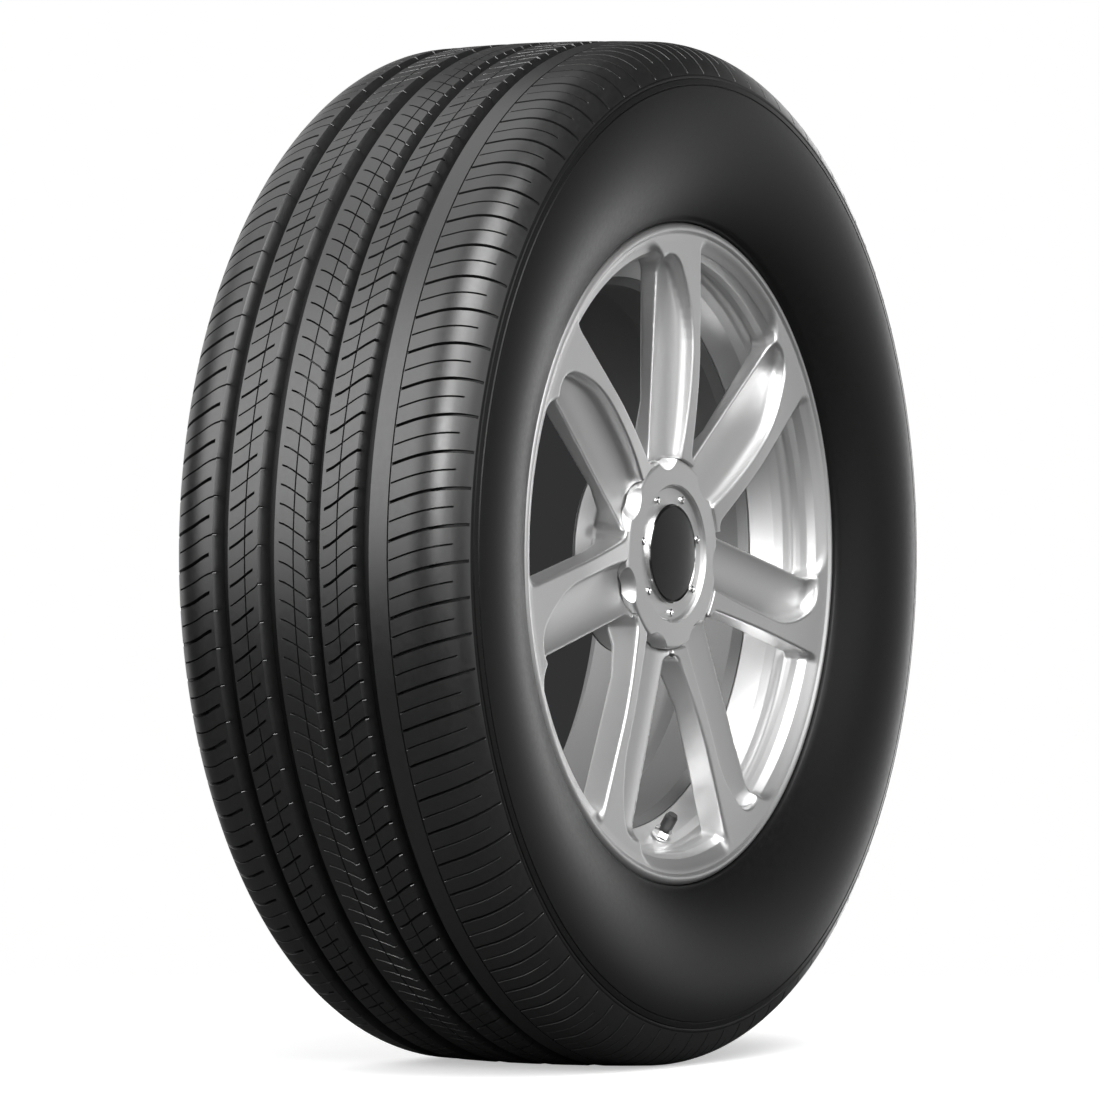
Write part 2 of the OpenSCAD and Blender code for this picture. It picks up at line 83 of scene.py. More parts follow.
def make_mesh(name, points, faces, material, sharp_angle):
    """A smooth-shaded piece on the root body, from points in the wheel's axes. Its faces look outwards."""
    points = np.asarray(points, dtype=float)
    faces = np.asarray(faces)
    a, b, c = (points[faces[:, k]] for k in (0, 1, 2))
    volume = np.einsum("ij,ij->i", a, np.cross(b, c)).sum()
    if faces.shape[1] == 4:
        d = points[faces[:, 3]]
        volume += np.einsum("ij,ij->i", a, np.cross(c, d)).sum()
    if volume < 0:
        faces = faces[:, ::-1]
    mesh = bpy.data.meshes.new(name)
    mesh.from_pydata(world(points).tolist(), [], faces.tolist())
    mesh.validate()
    mesh.shade_smooth()
    mesh.set_sharp_from_angle(angle=math.radians(sharp_angle))
    mesh.materials.append(material)
    obj = bpy.data.objects.new(name, mesh)
    bpy.context.scene.collection.objects.link(obj)
    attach(obj, "root")
    return obj


def ring_faces(rows, cols):
    """Quads of a grid that closes on itself both ways."""
    i = np.arange(rows)[:, None]
    j = np.arange(cols)[None, :]
    a = i * cols + j
    b = i * cols + (j + 1) % cols
    c = ((i + 1) % rows) * cols + (j + 1) % cols
    d = ((i + 1) % rows) * cols + j
    return np.stack([a, b, c, d], axis=-1).reshape(-1, 4)


def lathe_points(profile, cols):
    """Points of a closed section, given as radius and height, turned round the axis."""
    profile = np.asarray(profile, dtype=float)
    angle = np.arange(cols) * TAU / cols
    r = profile[:, 0][:, None]
    z = np.broadcast_to(profile[:, 1][:, None], (len(profile), cols))
    return np.stack([r * np.cos(angle), r * np.sin(angle), z], axis=-1).reshape(-1, 3)


def arc(centre, radius, a0, a1, steps):
    """Points of a circle's arc between two angles in degrees."""
    a = np.radians(np.linspace(a0, a1, steps + 1))
    return [(centre[0] + radius * math.cos(t), centre[1] + radius * math.sin(t)) for t in a]


def curve(p0, p1, p2, p3, steps):
    """Points of a cubic curve, without its first one."""
    p0, p1, p2, p3 = (np.asarray(p, dtype=float) for p in (p0, p1, p2, p3))
    out = []
    for i in range(1, steps + 1):
        u = i / steps
        v = 1 - u
        out.append(tuple(v ** 3 * p0 + 3 * v * v * u * p1 + 3 * v * u * u * p2 + u ** 3 * p3))
    return out


# Materials


def new_material(name):
    """A material with its node tree and its shader."""
    mat = bpy.data.materials.new(name)
    mat.use_nodes = True
    tree = mat.node_tree
    shader = tree.nodes["Principled BSDF"]
    return mat, tree, shader


def node(tree, kind, **values):
    """A new node. Each value sets the input of that name, or else the node's own setting."""
    n = tree.nodes.new(kind)
    for key, value in values.items():
        if key in n.inputs:
            n.inputs[key].default_value = value
        else:
            setattr(n, key, value)
    return n


def ramp(tree, fac, stops):
    """A colour ramp over fac. Each stop has a place and a grey or a colour."""
    n = tree.nodes.new("ShaderNodeValToRGB")
    tree.links.new(fac, n.inputs["Fac"])
    while len(n.color_ramp.elements) < len(stops):
        n.color_ramp.elements.new(0.5)
    for element, (pos, value) in zip(n.color_ramp.elements, stops):
        element.position = pos
        colour = value if isinstance(value, tuple) else (value, value, value)
        element.color = (*colour, 1.0)
    return n.outputs["Color"]


def noise(tree, scale, detail=3.0, rough=0.6):
    """Noise that stays with the object, in metres."""
    coord = tree.nodes.new("ShaderNodeTexCoord")
    n = node(tree, "ShaderNodeTexNoise", Scale=scale, Detail=detail, Roughness=rough)
    tree.links.new(coord.outputs["Object"], n.inputs["Vector"])
    return n.outputs["Fac"]


def bump(tree, shader, height, strength, distance):
    n = node(tree, "ShaderNodeBump", Strength=strength, Distance=distance)
    tree.links.new(height, n.inputs["Height"])
    tree.links.new(n.outputs["Normal"], shader.inputs["Normal"])


# How much finer the bump's noise is than the colour's
BUMP_FINER = 3


def finish_material(name, stops, rough, scale, metallic=0.0, bump_size=0.0, coat=0.0, coat_rough=0.1,
                    specular=0.5):
    """Colour and roughness that drift with a fine noise, and a small bump."""
    mat, tree, shader = new_material(name)
    fac = noise(tree, scale)
    tree.links.new(ramp(tree, fac, [(0.3, stops[0]), (0.7, stops[1])]), shader.inputs["Base Color"])
    tree.links.new(ramp(tree, fac, [(0.3, rough[0]), (0.7, rough[1])]), shader.inputs["Roughness"])
    shader.inputs["Metallic"].default_value = metallic
    shader.inputs["Specular IOR Level"].default_value = specular
    shader.inputs["Coat Weight"].default_value = coat
    shader.inputs["Coat Roughness"].default_value = coat_rough
    if bump_size:
        bump(tree, shader, noise(tree, scale * BUMP_FINER, 2.0), 0.5, bump_size)
    return mat


RUBBER = finish_material("tyre_tread", (0.009, 0.012), (0.31, 0.37), 260.0,
                         bump_size=0.00005, specular=1.0)
SIDE_RUBBER = finish_material("tyre_side", (0.005, 0.007), (0.36, 0.42), 260.0,
                              bump_size=0.00003, specular=0.25)
SILVER = finish_material("silver_lacquer", (0.74, 0.77), (0.42, 0.46), 1600.0,
                         metallic=1.0, bump_size=0.000003, coat=0.1, coat_rough=0.25)
# The barrel's and the core's silver: coloured far darker than the face's, as painted shade inside the rim;
# its higher roughness is the barrel's duller finish
SHADED_SILVER = finish_material("silver_painted_shade", (0.24, 0.28), (0.56, 0.62), 1400.0,
                         metallic=1.0, bump_size=0.000003)
BRIGHT = finish_material("bright_metal", (0.82, 0.86), (0.08, 0.13), 1200.0,
                         metallic=1.0, bump_size=0.00001)
BLACK_GLOSS = finish_material("black_gloss", (0.006, 0.009), (0.18, 0.24), 500.0,
                              bump_size=0.00001, specular=0.3)
BLACK_MATTE = finish_material("black_matte", (0.018, 0.026), (0.35, 0.45), 900.0,
                              bump_size=0.00003)
BRASS = finish_material("brass", ((0.60, 0.42, 0.18), (0.66, 0.47, 0.21)), (0.25, 0.35), 900.0,
                        metallic=1.0)
STEEL = finish_material("steel", (0.50, 0.56), (0.28, 0.36), 900.0, metallic=1.0)

# Tyre


def crown(w):
    """Radius of the tread's crown, w millimetres across from its middle."""
    return CROWN_R - CROWN_ARC_R + math.sqrt(CROWN_ARC_R ** 2 - w * w)


# The shoulder's arc: its centre, how many degrees it turns, and w at its end
SHOULDER_C = (crown(TREAD_HALF) - SHOULDER_R, TREAD_HALF)
SHOULDER_END = 80.0
W_END = TREAD_HALF + SHOULDER_R * math.radians(SHOULDER_END)
# Where the outermost blocks end, across the tread
BLOCK_END = W_END - 9
SIDE_TOP = (SHOULDER_C[0] + SHOULDER_R * math.cos(math.radians(SHOULDER_END)),
            SHOULDER_C[1] + SHOULDER_R * math.sin(math.radians(SHOULDER_END)))
BEAD_TOP = (FLANGE_R + 1.5, FLANGE_Z + 1.0)
SEAT_IN = SEAT_R + BEAD_GAP


def tread_point(w):
    """Radius, height and outward normal of the tread's surface, w millimetres across from its middle."""
    side = 1.0 if w >= 0 else -1.0
    a = abs(w)
    if a <= TREAD_HALF:
        slope = w / CROWN_ARC_R
        return crown(w), w, math.cos(slope), math.sin(slope)
    turn = (a - TREAD_HALF) / SHOULDER_R
    r = SHOULDER_C[0] + SHOULDER_R * math.cos(turn)
    z = side * (SHOULDER_C[1] + SHOULDER_R * math.sin(turn))
    return r, z, math.cos(turn), side * math.sin(turn)


def side_outline():
    """The sidewall's outer line from the shoulder to the bead's toe, as in the frame's tyre."""
    upper = (SIDE_TOP[0] - 6 * BULGE, SIDE_TOP[1] + 1.2 * BULGE)
    lower = (276, SIDE_TOP[1] + BULGE + 2.5)
    pts = curve(SIDE_TOP, upper, lower, BEAD_TOP, 30)
    out = FLANGE_R + BEAD_GAP
    pts += curve(BEAD_TOP, (BEAD_TOP[0] - 1, BEAD_TOP[1] - 1.5), (out, FLANGE_Z - 3), (out, FLANGE_Z - 5), 4)
    pts.append((out, BEAD_Z - BEAD_GAP))
    pts += arc((SEAT_IN + 6, BEAD_Z - BEAD_GAP - 6), 6, 90, 180, 5)
    pts += [(SEAT_IN - BEAD_TAPER, BEAD_Z - 22)]
    return pts


def inner_outline():
    """The tyre's inner line from the bead's toe to under the crown."""
    toe = (SEAT_IN + 3, BEAD_Z - 24.5)
    mid = (270, SIDE_TOP[1] - SIDE_T + 2)
    end = (CROWN_R - CROWN_T - 4, TREAD_HALF - 22)
    pts = [toe] + curve(toe, (240, BEAD_Z - 18), (246, SIDE_TOP[1] - SIDE_T - 4), mid, 8)
    pts += curve(mid, (300, SIDE_TOP[1] - SIDE_T + 7), (CROWN_R - CROWN_T - 2, SIDE_TOP[1] - 10), end, 8)
    return pts + [(CROWN_R - CROWN_T, 30)]


# How deep the blocks' rings reach into the casing
RIB_SINK = 9.5
# How far a groove's two walls lean, over its depth
WALL_STEEP = 1.4
WALL_SLOPED = 2.6
# The wide chamfer on each rib's edge that faces the groove outboard of it
RIB_CHAMFER = 2.0
# The casing past the blocks: how far before the shoulder's end its points lie, and which are in thin rings
PAST_BLOCKS = (7.2, 6.2, 5.6, 4.4, 2.0, 1.2, 0.6)
THIN_RINGS = (6.2, 1.2)
THIN_RING_DEPTH = 0.7


def carcass_profile():
    """The casing under the tread's blocks: its outside is the grooves' floor."""
    half = []
    for w in np.linspace(0, BLOCK_END, 22):
        r, z, nr, nz = tread_point(w)
        sink = GROOVE_DEPTH
        if w >= TREAD_HALF:
            sink = GROOVE_DEPTH * (BLOCK_END - w) / (BLOCK_END - TREAD_HALF)
        half.append((r - nr * sink, z - nz * sink))
    for before in PAST_BLOCKS:
        r, z, nr, nz = tread_point(W_END - before)
        sink = THIN_RING_DEPTH if before in THIN_RINGS else 0.0
        half.append((r - nr * sink, z - nz * sink))
    half += [SIDE_TOP] + side_outline() + inner_outline()
    other = [(r, -z) for r, z in reversed(half[1:])]
    return half + other


def flatten_foot(points):
    """Presses what lies below the flat spot up onto it."""
    floor = -(CROWN_R - FLAT_H)
    points[:, 1] = np.maximum(points[:, 1], floor)
    return points


# Pitches round the tread, and the widths of a slit and of a sipe in it
PITCHES = 88
SLIT_W = 1.7
SIPE_W = 0.7
# The bevel beside a slit, the share of its depth that the bevel takes, and how narrow its floor is
SLIT_BEVEL = 0.35
BEVEL_SHARE = 0.14
FLOOR_SHARE = 0.75
# Thin lines that run round a rib: their depth, and the grid's lines beside each
LINE_DEPTH = 1.2
LINE_OFFSETS = (-0.55, -0.25, 0.25, 0.55)
# The widest gaps in the grid, across the rib and along it, and the small round on a rib's plain edge
GRID_ACROSS = 3.4
GRID_ALONG = 5.0
EDGE_ROUND = 0.5


def rib_lines(w0, w1, slits, lines):
    """Where the grid's lines lie across a rib."""
    ws = set(np.linspace(w0, w1, max(3, int((w1 - w0) / GRID_ACROSS))).tolist())
    for slit in slits:
        for edge in slit["span"]:
            for off in (-0.5, 0.5):
                w = edge + off
                if w0 + 0.1 < w < w1 - 0.1:
                    ws.add(w)
    for line in lines:
        for off in LINE_OFFSETS:
            ws.add(line + off)
    ws = sorted(ws)
    keep = [ws[0]]
    for w in ws[1:]:
        if w - keep[-1] > 0.25 or any(abs(w - line) < 0.6 for line in lines):
            keep.append(w)
    return keep


def pitch_columns(slits, step):
    """Where the grid's columns lie in one pitch, and for each a slit's number and the share of its depth."""
    offs, depth_at = [], []
    for k, slit in enumerate(slits):
        h = slit["width"] / 2
        top = h + SLIT_BEVEL
        floor = h * FLOOR_SHARE
        section = ((-top, 0.0), (-h, BEVEL_SHARE), (-floor, 1.0), (floor, 1.0), (h, BEVEL_SHARE), (top, 0.0))
        for off, dip in section:
            offs.append(slit["at"] * step + off)
            depth_at.append((k, dip))
    order = np.argsort(offs)
    offs = np.array(offs)[order]
    depth_at = [depth_at[i] for i in order]
    # Plain columns in the wide stretches between slits
    columns, dips = [], []
    for i in range(len(offs)):
        columns.append(offs[i])
        dips.append(depth_at[i])
        gap = (offs[(i + 1) % len(offs)] - offs[i]) % step
        extras = int(gap / GRID_ALONG)
        for extra in range(extras):
            columns.append(offs[i] + gap * (extra + 1) / (extras + 1))
            dips.append((0, 0.0))
    return np.array(columns), dips


def block_ring(name, w0, w1, slits, lines=(), drop0=True, drop1=True):
    """One rib of the tread: a closed ring whose surface dips at its slits.

    Each slit has a place in the pitch, a width, a depth, the stretch w it runs over and a rule that
    gives how far along the circumference it lies at w. Rules are shared, so the grid is sheared
    along them and every slit follows a grid line. drop0 and drop1 say which ends are groove walls.
    """
    rule = slits[0]["rule"]
    ws = rib_lines(w0, w1, slits, lines)
    step = TAU * CROWN_R / PITCHES
    columns, dips = pitch_columns(slits, step)
    cols = len(columns)
    base = np.concatenate([columns + p * step for p in range(PITCHES)]) / CROWN_R
    rows = []

    def add_row(w, sink, shaped, shear_w):
        r, z, nr, nz = tread_point(w)
        dip = np.zeros(cols)
        if shaped:
            for j, (k, share) in enumerate(dips):
                a, b = slits[k]["span"]
                open_share = 1.0 if a <= w <= b else 0.0
                dip[j] = share * slits[k]["depth"] * open_share
            for line in lines:
                if abs(w - line) < 0.3:
                    dip = np.maximum(dip, LINE_DEPTH)
        dip = np.tile(dip, PITCHES) + sink
        angle = base + rule(shear_w) / CROWN_R
        rr = r - nr * dip
        zz = z - nz * dip
        rows.append(np.stack([-rr * np.cos(angle), rr * np.sin(angle), zz], axis=-1))

    if drop0:
        add_row(w0 - WALL_STEEP, RIB_SINK, False, w0)
    for i, w in enumerate(ws):
        last = i == len(ws) - 1
        if last and drop1:
            add_row(w - RIB_CHAMFER, 0.0, True, w)
            add_row(w, RIB_CHAMFER, False, w)
            add_row(w + WALL_SLOPED, RIB_SINK, False, w)
        elif i == 0 and drop0:
            add_row(w, EDGE_ROUND, True, w)
            add_row(w + EDGE_ROUND, 0.0, True, w)
        elif not drop1 or w < w1 - RIB_CHAMFER - 0.3:
            add_row(w, 0.0, True, w)
    if not drop1:
        add_row(w1, RIB_SINK, False, w1)
    points = flatten_foot(np.concatenate(rows))
    faces = ring_faces(len(rows), cols * PITCHES)
    obj = make_mesh(name, points, faces, RUBBER, 30.0)
    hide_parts("tyre")


def smooth_rule(points):
    """A rise through a few given places, with a smooth curve between them."""
    ws = np.array([p[0] for p in points])
    cs = np.array([p[1] for p in points])
    slopes = np.gradient(cs, ws)

    def rule(w):
        if w <= ws[0]:
            return cs[0] + slopes[0] * (w - ws[0])
        if w >= ws[-1]:
            return cs[-1] + slopes[-1] * (w - ws[-1])
        i = int(np.searchsorted(ws, w) - 1)
        h = ws[i + 1] - ws[i]
        t = (w - ws[i]) / h
        return ((1 + 2 * t) * (1 - t) ** 2 * cs[i] + t * (1 - t) ** 2 * h * slopes[i]
                + t * t * (3 - 2 * t) * cs[i + 1] + t * t * (t - 1) * h * slopes[i + 1])
    return rule


def slit(at, width, depth, span, rule):
    """A slit: its place in the pitch from 0 to 1, width, depth, stretch across the tread, and rise."""
    return {"at": at, "width": width, "depth": depth, "span": span, "rule": rule}


def groove_edges(i):
    """Where a groove's two edges lie across the tread."""
    centre, width = GROOVES[i]
    return centre - width / 2, centre + width / 2


def build_tread():
    """The five ribs, from the outboard one inwards. Places are across the tread, from its middle."""
    a, b = groove_edges(0)[1], BLOCK_END
    rise = smooth_rule([(50, 0), (64, 5.5), (80, 11), (100, 16), (120, 18.5), (134, 19)])
    block_ring("tread_rib_outer", a, b, [
        slit(0.0, SLIT_W, 5.5, (a + 15, b - 1.5), rise),
        slit(0.5, SIPE_W, 4.0, (a + 16, b - 14), rise)], lines=(a + 14.6,), drop1=False)

    a, b = groove_edges(1)[1], groove_edges(0)[0]
    rise = smooth_rule([(a, 0), (a + 8, 3.6), (a + 18, 10.8), (a + 24, 14.6), (b, 15.6)])
    block_ring("tread_rib_4", a, b, [
        slit(0.0, SLIT_W, 6.0, (a + 3.5, b + 3), rise),
        slit(0.5, SIPE_W, 4.0, (a + 2, b - 1.5), rise)], lines=(a + 13.5,))

    a, b = groove_edges(2)[1], groove_edges(1)[0]
    rise = smooth_rule([(a, 0), (a + 9, -2.6), (a + 18, -7.8), (b, -13.0)])
    block_ring("tread_rib_centre", a, b, [
        slit(0.25, SIPE_W, 4.0, (a + 4, b - 1.2), rise),
        slit(0.75, SIPE_W, 4.0, (a + 4, b - 1.2), rise)], lines=(a + 15.5,))

    a, b = groove_edges(3)[1], groove_edges(2)[0]
    rise = smooth_rule([(a, 0), (a + 8, 4.6), (a + 17, 10.8), (b, 16.5)])
    block_ring("tread_rib_2", a, b, [
        slit(0.0, SLIT_W * 0.9, 6.0, (a + 2, a + 20), rise),
        slit(0.5, SIPE_W, 4.0, (a + 2, b - 1.5), rise)], lines=(a + 14.0,))

    a, b = -BLOCK_END, groove_edges(3)[0]
    rise = smooth_rule([(-134, -19), (-110, -15.5), (-90, -10), (b - 5, -3.2), (b, -2)])
    block_ring("tread_rib_inner", a, b, [
        slit(0.0, SLIT_W * 1.2, 5.5, (a + 1.5, b - 5), rise),
        slit(0.5, SIPE_W, 4.0, (a + 14, b - 2), rise)], drop0=False)


CASING_COLS = 360


def build_carcass():
    """The tyre's sidewalls, beads, inside and grooves' floors, in one piece."""
    profile = carcass_profile()
    points = flatten_foot(lathe_points(profile, CASING_COLS))
    faces = ring_faces(len(profile), CASING_COLS)
    obj = make_mesh("tyre_casing", points, faces, SIDE_RUBBER, 40.0)
    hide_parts("tyre")


# Cast wheel: its sizes as in the part's source, in millimetres. R is a radius, Z a height outboard, and CW
# and CCW are clockwise and anticlockwise of a spoke's middle.
SPOKES = 7
PITCH = TAU / SPOKES
FLANGE_ROUND = 5.0
HEEL_R = 6.0
LEDGE_R = 214.0
WELL_R = 198.0
WELL_OUT = 42.0
WELL_IN = 4.0
BARREL_T = 5.8
SEAT_END = 65.9
LIP_IN = FLANGE_R - 8
WINDOW_R = FLANGE_R - 7.5
CREST_Z = 96.0
SPOKE_T = 21.0
BACK_Z = CREST_Z - SPOKE_T
COVER_R = 68.0
COVER_GAP = 0.4
SPOKE_MID = (COVER_R + WINDOW_R) / 2
HUB_R = 71.0
MOUNT_Z = 45.0
SEAT_Z = 79.0
RIDGE_CW = 26.0
RIDGE_CCW = 14.0
RIDGE_SWEEP = 39.0
LIP_CCW = 27.0
LIP_DEPTH = 9.5
CREST_DROP = 8.5
CREST_START_R = 62
CREST_POWER = 1.6
# The face's own mesh starts at this radius and height, where the core and the barrel take over
FACE_R0 = 63.0
FACE_Z0 = 46.0
BORE_R = 31.7
BORE_L = 12.0
CAP_BORE_R = 30.5
BOLTS = 5
BOLT_PCD = 108.0
BOLT_D = 14.0
BOLT_SEAT_D = 22.0


def flipped(pts):
    """The same line on the inboard side, the other way round."""
    return [(r, -z) for r, z in reversed(pts)]


def crest_depth(r):
    """How far the spoke's crest lies below its highest line, at a radius."""
    return CREST_DROP * np.clip((SPOKE_MID - r) / (SPOKE_MID - CREST_START_R), 0, 1) ** CREST_POWER


def outer_barrel():
    """The rim's outside from the outboard flange to the inboard one."""
    taper = SEAT_R - BEAD_TAPER
    flange = arc((FLANGE_R - FLANGE_ROUND, FLANGE_Z - FLANGE_ROUND), FLANGE_ROUND, 90, 0, 8)
    heel = arc((SEAT_R + HEEL_R, BEAD_Z - HEEL_R), HEEL_R, 90, 180, 5)
    half = flange + [(FLANGE_R, BEAD_Z + 1), (FLANGE_R - 1, BEAD_Z)] + heel
    half += [(taper, SEAT_END), (taper + 1.2, SEAT_END - 2), (taper, SEAT_END - 5)]
    inboard = flipped(half)
    middle = [(LEDGE_R, SEAT_END - 8), (WELL_R, WELL_OUT), (WELL_R, WELL_IN), (LEDGE_R - 2, WELL_IN - 16),
              (LEDGE_R, WELL_IN - 22), (LEDGE_R, -SEAT_END + 8)]
    return half + middle + inboard


def inner_barrel():
    """The barrel's inside, from inboard to outboard."""
    seat = SEAT_R - BARREL_T
    ledge = LEDGE_R - BARREL_T
    well = WELL_R - BARREL_T
    return [(LIP_IN, -FLANGE_Z + 0.5), (LIP_IN - 2, -FLANGE_Z + 2.5), (seat - 0.5, -BEAD_Z + 4),
            (seat - 1, -SEAT_END + 1), (ledge, -SEAT_END + 9), (ledge, WELL_IN - 21),
            (ledge - 2, WELL_IN - 14), (well, WELL_IN + 3), (well, WELL_OUT - 2.5),
            (ledge - 0.5, SEAT_END - 5), (seat - 1.5, SEAT_END + 2)]


def face_profile():
    """Section of the blank that the windows and scoops are cut from."""
    seat = SEAT_R - BARREL_T
    back = [(seat - 1, BACK_Z), (HUB_R + 41, BACK_Z), (HUB_R + 17, BACK_Z - 5), (HUB_R + 3, BACK_Z - 13),
            (HUB_R, MOUNT_Z), (0, MOUNT_Z), (0, SEAT_Z), (COVER_R + COVER_GAP, SEAT_Z)]
    radii = np.linspace(COVER_R + COVER_GAP, SPOKE_MID, 14)
    crest = [(r, CREST_Z - float(crest_depth(r))) for r in radii]
    lip = [(LIP_IN - 6, CREST_Z), (LIP_IN, CREST_Z + 0.4), (LIP_IN + 2, FLANGE_Z)]
    return outer_barrel() + inner_barrel() + back + crest + lip


def window_plan():
    """Outline of the window clockwise of a spoke, in that spoke's axes."""
    inner, foot, corner = 8.0, 8.0, 25.0
    lip_mid = LIP_CCW + 1.5
    deg = math.degrees(PITCH)
    inner_y = ((RIDGE_CW + inner) * math.cos(PITCH) + lip_mid + inner) / math.sin(PITCH)
    foot_c = (RIDGE_CW + foot, math.sqrt((WINDOW_R - foot) ** 2 - (RIDGE_CW + foot) ** 2))
    corner_c = (-lip_mid - corner, math.sqrt((WINDOW_R - corner) ** 2 - (lip_mid + corner) ** 2))
    foot_a = math.degrees(math.atan2(foot_c[1], foot_c[0]))
    corner_a = math.degrees(math.atan2(corner_c[1], corner_c[0]))
    pts = arc((RIDGE_CW + inner, inner_y), inner, 360 - deg, 180, 12)
    pts += arc(foot_c, foot, 180, foot_a, 10)
    pts += arc((0, 0), WINDOW_R, foot_a, corner_a - deg, 10)[1:-1]
    for x, y in arc(corner_c, corner, corner_a, 0, 16):
        pts.append((x * math.cos(PITCH) + y * math.sin(PITCH), y * math.cos(PITCH) - x * math.sin(PITCH)))
    return pts


def limit_profile():
    """Section of the space that a window may take, which leaves the rim its wall."""
    seat = SEAT_R - BARREL_T
    return [(-50, BACK_Z - 20), (seat - 14.2, BACK_Z - 20), (seat - 0.3, BACK_Z - 0.5),
            (seat, BEAD_Z - 8), (seat + 1.2, BEAD_Z - 2.5), (seat + 4.8, BEAD_Z + 2.6),
            (LIP_IN - 1.5, FLANGE_Z - 1.8), (LIP_IN, FLANGE_Z - 1), (LIP_IN + 1.4, FLANGE_Z),
            (LIP_IN + 3, FLANGE_Z + 20), (-50, FLANGE_Z + 20)]


def ridge_edge(r):
    """Where the spoke's twisting ridge lies beside its middle, at a radius."""
    swept = np.clip((r - SPOKE_MID) / (WINDOW_R + 2 - SPOKE_MID), 0, 1) ** 2.05
    near = np.clip((SPOKE_MID - r) / 75, 0, 1) ** 3
    return RIDGE_CCW - RIDGE_SWEEP * swept - 3.5 * near


def scoop_plan():
    """Outline of the scoop beside the ridge, in its spoke's axes."""
    r0, r1 = 50, WINDOW_R + 6
    pts = [(float(ridge_edge(r)), r) for r in np.linspace(r0, r1, 26)]
    end = float(ridge_edge(r1))
    return pts + [(end - 5, r1 + 2.5), (-LIP_CCW - 4, r1 + 2), (-LIP_CCW - 10, r1 - 4),
                  (-LIP_CCW - 20, r1 - 26), (-LIP_CCW - 20, r0)]


def polygon_distance(px, py, pts):
    """Signed distance from points to a polygon's outline, negative inside."""
    shape = np.shape(px)
    px = np.asarray(px, dtype=np.float64).ravel()
    py = np.asarray(py, dtype=np.float64).ravel()
    best = np.full(px.shape, 1e18)
    inside = np.zeros(px.shape, dtype=bool)
    n = len(pts)
    for i in range(n):
        ax, ay = pts[i]
        bx, by = pts[(i + 1) % n]
        ex, ey = bx - ax, by - ay
        length = ex * ex + ey * ey
        if length < 1e-12:
            continue
        wx, wy = px - ax, py - ay
        t = np.clip((wx * ex + wy * ey) / length, 0, 1)
        best = np.minimum(best, (wx - t * ex) ** 2 + (wy - t * ey) ** 2)
        if ay != by:
            crosses = (ay > py) != (by > py)
            inside ^= crosses & (px < ex * (py - ay) / (by - ay) + ax)
    d = np.sqrt(best)
    return np.where(inside, -d, d).reshape(shape)


def soft_max(a, b, k):
    """The larger of two, rounded over k where they are close."""
    h = np.maximum(k - np.abs(a - b), 0) / k
    return np.maximum(a, b) + h * h * k * 0.25


PROFILE = face_profile()
WINDOW = window_plan()
LIMIT = limit_profile()
SCOOP = scoop_plan()
# The scoop's floor: its radius, where it ends, its slope, and its axis's place over the spoke
SCOOP_FLOOR_R = 42.0
SCOOP_END = 213.5
SCOOP_SLOPE = math.radians(2.6)
SCOOP_X = (RIDGE_CCW - LIP_CCW) / 2 - 2
SCOOP_C = SCOOP_FLOOR_R * math.cos(math.asin((SCOOP_X + LIP_CCW) / SCOOP_FLOOR_R)) - LIP_DEPTH
# How wide the casting's edges are rounded
WINDOW_ROUND = 7.0
FLOOR_ROUND = 6.0
END_ROUND = 12.0
WINDOW_EDGE = 2.6
SCOOP_EDGE = 2.2


def face_value(phi, r, z, flat):
    """Below nought inside the casting. phi is clockwise from the nearest spoke, within half a pitch."""
    blank = flat["blank"]
    window = soft_max(flat["window"], flat["limit"], WINDOW_ROUND)
    x = r * np.sin(phi)
    y = r * np.cos(phi)
    # The scoop's floor is a round trough that sinks towards the hub
    up = (z - CREST_Z - SCOOP_C) * math.cos(SCOOP_SLOPE) - (y - SPOKE_MID) * math.sin(SCOOP_SLOPE)
    floor = np.sqrt((x - SCOOP_X) ** 2 + up ** 2) - SCOOP_FLOOR_R
    scoop = soft_max(flat["scoop"], floor, FLOOR_ROUND)
    # Its outer end is rounded off short of the rim's wall
    scoop = soft_max(scoop, r - SCOOP_END, END_ROUND)
    out = soft_max(blank, -window, WINDOW_EDGE)
    out = soft_max(out, -scoop, SCOOP_EDGE)
    return np.maximum(out, np.maximum(FACE_Z0 - z, FACE_R0 - r))


def flat_parts(phi, r, z, grid=False):
    """The distances that lie in the section or in the plan."""
    if grid:
        pr, pz = np.meshgrid(r, z, indexing="ij")
        blank = polygon_distance(pr, pz, PROFILE)[None, :, :]
        limit = polygon_distance(pr, pz, LIMIT)[None, :, :]
        gp, gr = np.meshgrid(phi, r, indexing="ij")
    else:
        blank = polygon_distance(r, z, PROFILE)
        limit = polygon_distance(r, z, LIMIT)
        gp, gr = phi, r
    x, y = gr * np.sin(gp), gr * np.cos(gp)
    before = gp + PITCH
    xb, yb = gr * np.sin(before), gr * np.cos(before)
    window = np.minimum(polygon_distance(x, y, WINDOW), polygon_distance(xb, yb, WINDOW))
    scoop = polygon_distance(x, y, SCOOP)
    if grid:
        window = window[:, :, None]
        scoop = scoop[:, :, None]
    return {"blank": blank, "limit": limit, "window": window, "scoop": scoop}


def value(p):
    """The same at any place, from polar coordinates."""
    phi = (p[:, 0] + PITCH / 2) % PITCH - PITCH / 2
    return face_value(phi, p[:, 1], p[:, 2], flat_parts(phi, p[:, 1], p[:, 2]))


# The grid over one pitch: how many columns, and its steps in radius and height
FACE_COLS = 112
FACE_DR = 1.6
FACE_DZ = 1.5
# The radius at which a small turn is counted as a length, and the step for slopes
MEAN_R = 150
SLOPE_STEP = 0.05
DRAW_PASSES = 4


